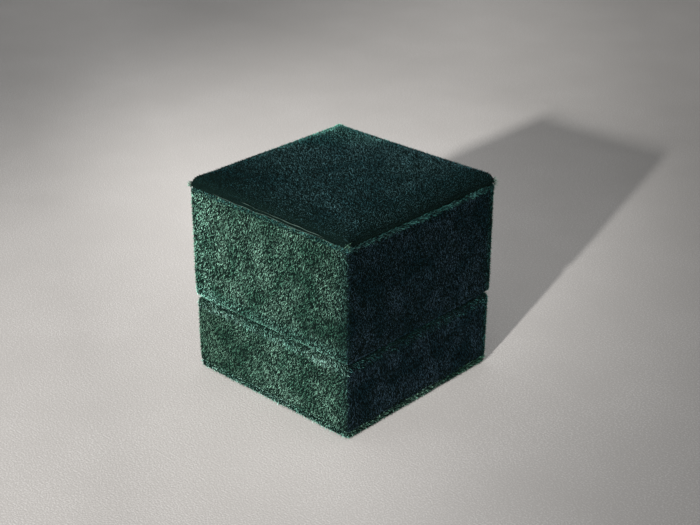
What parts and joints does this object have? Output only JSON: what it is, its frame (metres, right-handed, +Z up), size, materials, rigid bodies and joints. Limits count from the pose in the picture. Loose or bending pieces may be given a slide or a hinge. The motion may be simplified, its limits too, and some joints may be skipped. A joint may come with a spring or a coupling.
{
  "type": "ring box",
  "caption": "Cube-shaped velvet ring box with a lift-off lid, a raised collar, a slit ring cushion and a padded top panel.",
  "frame": {"origin": "middle of the underside, on the surface the box stands on", "axes": "+Z up through the lid, +X to the right, -Y the front; the ring slit runs along X"},
  "size_m": [0.0514, 0.0514, 0.0509],
  "materials": {
    "velvet": "matte",
    "board": "matte",
    "card": "matte",
    "tape": "matte",
    "foam": "matte",
    "satin": "satin"
  },
  "bodies": {
    "base": {"base_bottom_board": "board", "base_bottom_velvet": "velvet", "base_corner_stays": "tape", "base_side_velvet": "velvet", "base_tray_floor": "board", "base_wall_back": "board", "base_wall_front": "board", "base_wall_left": "board", "base_wall_right": "board", "collar_board": "board", "collar_velvet": "velvet", "cushion_card": "card", "cushion_foam_back": "foam", "cushion_foam_front": "foam", "cushion_velvet": "velvet"},
    "lid": {"lid_corner_stays": "tape", "lid_lining_strip": "satin", "lid_pad_card": "card", "lid_pad_foam": "foam", "lid_pad_satin": "satin", "lid_side_velvet": "velvet", "lid_top_board": "board", "lid_top_foam": "foam", "lid_top_velvet": "velvet", "lid_tray_top": "board", "lid_wall_back": "board", "lid_wall_front": "board", "lid_wall_left": "board", "lid_wall_right": "board"}
  },
  "joints": [
    {"name": "lid_lift", "type": "slide", "parent": "base", "child": "lid", "axis": [0, 0, 1], "range_m": [0, 0.03]}
  ]
}
